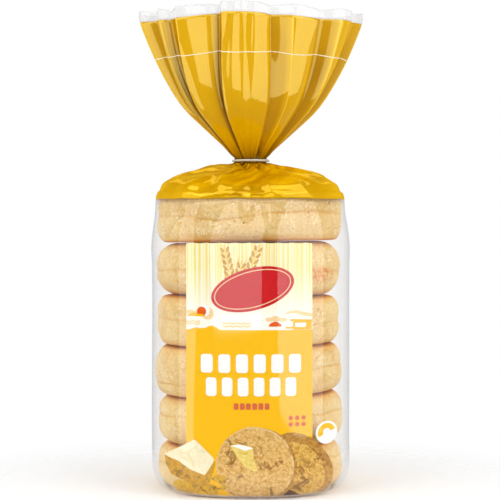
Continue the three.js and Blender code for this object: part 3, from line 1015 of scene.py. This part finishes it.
# The cheese block's near edge, from left to right, is shared by its sides and its top.
near_left, *near_edge = [(-40.9, 19.1), (-36.6, 17.7), (-33.8, 17.1), (-28.4, 13.8), (-21.3, 11.4),
                         (-17.9, 16.6), (-16.8, 18.7)]
far_edge = [(-38.2, 20.9), (-26.2, 27.8), (-25, 27), (-17.9, 20.3)]
under_edge = [(-16.6, 16.6), (-17.9, 11.7), (-19.1, 8), (-21.6, 5.7), (-24.1, 6.1), (-30.4, 8),
              (-37.4, 10.4), (-40.2, 14.8)]
print_on_film("print_cheese_sides", CHEESE_SIDE_INK, 2, [[near_left, *near_edge, *under_edge]])
print_on_film("print_cheese_top", CHEESE_TOP_INK, 1.5, [[near_left, *far_edge, *reversed(near_edge)]])
print_on_film("print_cheese_crumbs", CHEESE_CRUMB_INK, 0.6, [
    [(-36.6, 6.5), (-33.6, 8.4), (-28.4, 7.8), (-24.1, 6.3), (-21.6, 5.4), (-22.5, 3.1), (-28.4, 1.4),
     (-35.4, 1.8)],
    [(-22.2, 3.7), (-20.4, 7.1), (-17.3, 7.4), (-15.1, 5.2), (-15.4, 2.2), (-19.1, 1.3)],
    [(-18.5, 9.8), (-16.1, 12), (-11.8, 11.4), (-11.1, 8.3), (-14.2, 7.7)],
    [(-15.4, 5.2), (-12.4, 7.1), (-10.8, 5.8), (-13, 4.3)],
])
print_on_film("print_butter", BUTTER_INK, 0.6, [[
    (-9.8, 25.5), (-5.6, 26.3), (0.3, 24.9), (1.1, 24), (1.1, 19.7), (2.9, 15.4), (2.7, 14.1), (1.5, 13.6),
    (-3.1, 16), (-6.8, 20.9)]])
print_on_film("print_butter_top", WHITE_INK, 0.1, [[
    (-9.2, 25.4), (-5.6, 26), (0.1, 24.7), (0.6, 24.1), (-2.6, 23.2), (-6, 24.4)]])

# A round badge beside the panel: a plain white disc with part of a yellow ring.
BADGE_X, BADGE_Z = 35.5, 30.2
print_on_film("print_badge", WHITE_INK, 3, discs=[(BADGE_X, BADGE_Z, 5.3)])
sweep = [math.radians(mix(15, 205, step / 24)) for step in range(25)]
arc = [(BADGE_X + 4.3 * math.cos(angle), BADGE_Z + 4.3 * math.sin(angle)) for angle in sweep]
arc += [(BADGE_X + 2 * math.cos(angle), BADGE_Z + 2 * math.sin(angle)) for angle in reversed(sweep)]
print_on_film("print_badge_ring", YELLOW_INK, 2, [arc])

# The back panel, plainer: the same two fields, a white box and ruled lines where a pack has its words.
BACK = 1
BACK_MIDDLE = (PANEL_LEFT + PANEL_RIGHT) / 2
print_on_film("print_back_panel", STRIPED_INK, 5, [striped_top], side=BACK)
print_on_film("print_back_yellow_field", YELLOW_INK, 4, [[
    (PANEL_LEFT, FIELD_TOP), (PANEL_RIGHT, FIELD_TOP), (PANEL_RIGHT, FOOT), (PANEL_LEFT, FOOT)]], side=BACK)
print_on_film("print_back_box", WHITE_INK, 3, bars=[(BACK_MIDDLE, 45, 48, 52, 2.5)], side=BACK)
rules = [(BACK_MIDDLE, 65.5 - 4.8 * line, 42, 0.7, 0.3) for line in range(9)]
print_on_film("print_back_rules", CORAL_INK, 2, bars=rules, side=BACK)
print_on_film("print_back_plaque", RED_INK, 3, discs=[(BACK_MIDDLE, 97.5, 15, 7.4, 0, 60)], side=BACK)

# ---------------------------------------------------------------- the tie round the neck

TIE_MIDDLE = 158.4 * MM
TIE_HALF_HEIGHT = 0.55 * MM
TWIST_TURNS = 1.5
TWIST_RISE = 2.5 * MM
TWIST_APART = 0.62 * MM  # from the middle of the twist to the middle of each end
TWIST_SIZE = (0.5 * MM, 0.75 * MM)  # half the thickness and width of each end
TWIST_STEPS = 48


def make_tie():
    """A coated wire round the neck, its two ends twisted together behind."""
    ring = bmesh.new()
    strand = TIE_THICK / 2
    size = Matrix.Diagonal((strand, TIE_HALF_HEIGHT, 1, 1))
    bmesh.ops.create_circle(ring, segments=16, radius=1,
                            matrix=upright_at(tie_high.x - strand, TIE_MIDDLE) @ size)
    bmesh.ops.spin(ring, geom=ring.verts[:] + ring.edges[:], cent=(0, 0, 0), axis=(0, 0, 1),
                   angle=TURN, steps=96, use_merge=True)
    for vert in ring.verts:
        angle = math.atan2(vert.co.y, vert.co.x)
        clear = math.hypot(vert.co.x, vert.co.y) - NECK
        radius = NECK * section_radius(angle, NECK_DEPTH, 2) + clear
        vert.co.x, vert.co.y = radius * math.cos(angle), radius * math.sin(angle)
    back = max(vert.co.y for vert in ring.verts) - TIE_THICK
    length = tie_high.y - back
    for way in (-1, 1):
        end = bmesh.new()
        size = Matrix.Diagonal((*TWIST_SIZE, 1, 1))
        bmesh.ops.create_circle(end, segments=12, radius=1,
                                matrix=upright_at(way * TWIST_APART, TIE_MIDDLE, back) @ size)
        bmesh.ops.spin(end, geom=end.verts[:] + end.edges[:], cent=(0, 0, TIE_MIDDLE), axis=(0, 1, 0),
                       dvec=(0, length / TWIST_STEPS, 0), angle=TURN * TWIST_TURNS, steps=TWIST_STEPS)
        bmesh.ops.remove_doubles(end, verts=end.verts, dist=0.001 * MM)
        bmesh.ops.holes_fill(end, edges=end.edges, sides=12)
        for vert in end.verts:
            along = (vert.co.y - back) / length
            vert.co.z += TWIST_RISE * along**2
        mesh = bpy.data.meshes.new("twist")
        end.to_mesh(mesh)
        ring.from_mesh(mesh)
        end.free()
        bpy.data.meshes.remove(mesh)
    bmesh.ops.recalc_face_normals(ring, faces=ring.faces)
    return piece("tie_wire", ring, TIE)


tie_wire = make_tie()

# ---------------------------------------------------------------- the stage

def floor_material():
    """Pale seamless paper, which fades into the backdrop away from the pack."""
    material, spot = new_material("pale_floor")
    away = node(material, "VectorMath", {0: spot}, operation="LENGTH")
    fade = node(material, "MapRange", {0: away.outputs["Value"], 1: 0.05, 2: 0.17},
                interpolation_type="SMOOTHSTEP")
    paper = node(material, "BsdfDiffuse", {"Color": colour("#F8F8F8")})
    through = node(material, "BsdfTransparent", {"Color": (1, 1, 1, 1)})
    floor = node(material, "MixShader", {0: fade, 1: paper, 2: through})
    return finish_material(material, floor)


floor_shape = bmesh.new()
bmesh.ops.create_circle(floor_shape, cap_ends=True, segments=96, radius=0.5)
floor = piece("floor", floor_shape, floor_material())


# Each light as (azimuth, distance, height, width, tall, radiance). Azimuth 0 is the front, 90 the right.
KEYS = {
    "right_key": (54, 0.7, 0.45, 0.6, 0.8, 2.8),
    "left_key": (-54, 0.7, 0.45, 0.6, 0.8, 2.7),
}
STREAKS = {
    "right_streak": (48, 0.6, 0.35, 0.7, 0.8, 1.85),
    "front_streak": (-12, 0.9, 0.385, 0.55, 0.73, 1.85),
    "high_right_streak": (50, 0.5, 0.9, 0.7, 0.75, 2.5),
    "high_left_streak": (-50, 0.5, 0.9, 0.4, 0.75, 2.5),
    "back_streak": (180, 0.5, 0.65, 0.7, 0.3, 1.6),
    "left_streak": (-62, 0.6, 0.22, 0.3, 1.05, 1.7),
}
LOOKS_DOWN = 0.8  # lights hung above this height look down at the pack, and the others face it level
PACK_MIDDLE = 0.12


def softbox(name, azimuth, distance, height, width, tall, radiance, mirrored):
    """A soft panel light. A key lights what is matt, and a streak only shows mirrored in the film."""
    light = bpy.data.lights.new(name, "AREA")
    light.shape = "RECTANGLE"
    light.size = width
    light.size_y = tall
    light.energy = radiance * math.pi * width * tall
    made = bpy.data.objects.new(name, light)
    angle = math.radians(azimuth)
    made.location = (distance * math.sin(angle), -distance * math.cos(angle), height)
    aim = -made.location
    aim.z = PACK_MIDDLE - height if height > LOOKS_DOWN else 0
    made.rotation_euler = aim.to_track_quat("-Z", "Y").to_euler()
    made.visible_camera = False
    made.visible_diffuse = not mirrored
    made.visible_glossy = mirrored
    bpy.context.scene.collection.objects.link(made)


for name, sizes in KEYS.items():
    softbox(name, *sizes, mirrored=False)
for name, sizes in STREAKS.items():
    softbox(name, *sizes, mirrored=True)

world = bpy.data.worlds.new("studio")
bpy.context.scene.world = world
world.use_nodes = True
world.node_tree.nodes.clear()
# A white backdrop behind the pack and a dimmer room in front. To the camera it is white all round.
# What the film mirrors and what lights the matt surfaces have a range each, from front to back.
ray = node(world, "LightPath")
way = node(world, "TexCoord")
apart = node(world, "SeparateXYZ", {0: way.outputs["Generated"]})
behind = node(world, "MapRange",
              {0: apart.outputs["Y"], 1: -0.4, 2: 0.4, 3: 0.18, 4: 0.7}, interpolation_type="SMOOTHSTEP")
above = node(world, "MapRange",
             {0: apart.outputs["Z"], 1: 0.3, 2: 0.75, 3: 1.0, 4: 0.3}, interpolation_type="SMOOTHSTEP")
mirrored = node(world, "Math", {0: behind, 1: above}, operation="MULTIPLY")
around = node(world, "MapRange",
              {0: apart.outputs["Y"], 1: -0.4, 2: 0.6, 3: 0.56, 4: 0.95}, interpolation_type="SMOOTHSTEP")
room = node(world, "Math", {0: ray.outputs["Is Diffuse Ray"], 1: around}, operation="MULTIPLY")
lit = node(world, "Math", {0: mirrored, 1: room}, operation="MAXIMUM")
strength = node(world, "Math", {0: lit, 1: ray.outputs["Is Camera Ray"]}, operation="MAXIMUM")
backdrop = node(world, "Background", {"Color": (1, 1, 1, 1), "Strength": strength})
node(world, "OutputWorld", {"Surface": backdrop})

CAMERA = Vector((-0.4 * MM, -0.7, 0.122))
LOOK_AT = Vector((-0.4 * MM, 0, 0.1147))
camera_data = bpy.data.cameras.new("camera")
camera_data.sensor_width = 36
camera_data.lens = 102.8
camera = bpy.data.objects.new("camera", camera_data)
camera.location = CAMERA
camera.rotation_euler = (LOOK_AT - CAMERA).to_track_quat("-Z", "Y").to_euler()
bpy.context.scene.collection.objects.link(camera)
bpy.context.scene.camera = camera

bpy.context.scene.view_settings.view_transform = "Standard"

# ---------------------------------------------------------------- riding on the frame

clear = [film_body, film_rim]
printed = [film_shoulder, film_mouth, tear_line] + print_pieces
for made in muffins + clear + printed:
    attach(made, "root")
    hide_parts("bag")
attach(tie_wire, "root")
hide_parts("tie")
